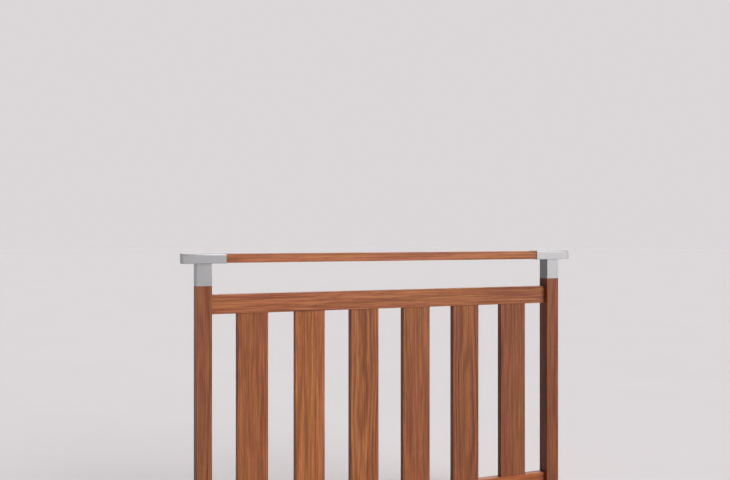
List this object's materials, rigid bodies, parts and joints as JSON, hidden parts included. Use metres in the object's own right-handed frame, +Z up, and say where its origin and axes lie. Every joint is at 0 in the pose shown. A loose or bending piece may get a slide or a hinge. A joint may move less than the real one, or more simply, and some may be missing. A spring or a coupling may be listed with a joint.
{
  "type": "juliet balcony guard",
  "caption": "Slatted timber guard for a tall window: posts on wall stand-offs carry rails, upright slats and a handrail held in metal sleeves on stubs.",
  "frame": {"origin": "centre of the wall face of the lower left stand-off", "axes": "+X along the wall to the right as seen from outside, +Y into the wall, +Z up"},
  "size_m": [1.3499, 0.09, 0.9],
  "materials": {
    "post_timber": "satin stained hardwood",
    "rail_timber": "satin stained hardwood",
    "slat_timber": "satin stained hardwood",
    "handrail_timber": "satin stained hardwood",
    "satin_metal": "satin anodised",
    "standoff_steel": "brushed"
  },
  "bodies": {
    "root": {"left_post": "post_timber", "right_post": "post_timber", "left_foot_cap": "satin_metal", "right_foot_cap": "satin_metal", "top_rail": "rail_timber", "bottom_rail": "rail_timber", "slat_1": "slat_timber", "slat_2": "slat_timber", "slat_3": "slat_timber", "slat_4": "slat_timber", "slat_5": "slat_timber", "slat_6": "slat_timber", "left_stub": "satin_metal", "right_stub": "satin_metal", "left_sleeve": "satin_metal", "right_sleeve": "satin_metal", "left_sleeve_cap": "satin_metal", "right_sleeve_cap": "satin_metal", "handrail": "handrail_timber", "upper_left_standoff": "standoff_steel", "upper_right_standoff": "standoff_steel", "lower_left_standoff": "standoff_steel", "lower_right_standoff": "standoff_steel"}
  },
  "joints": []
}
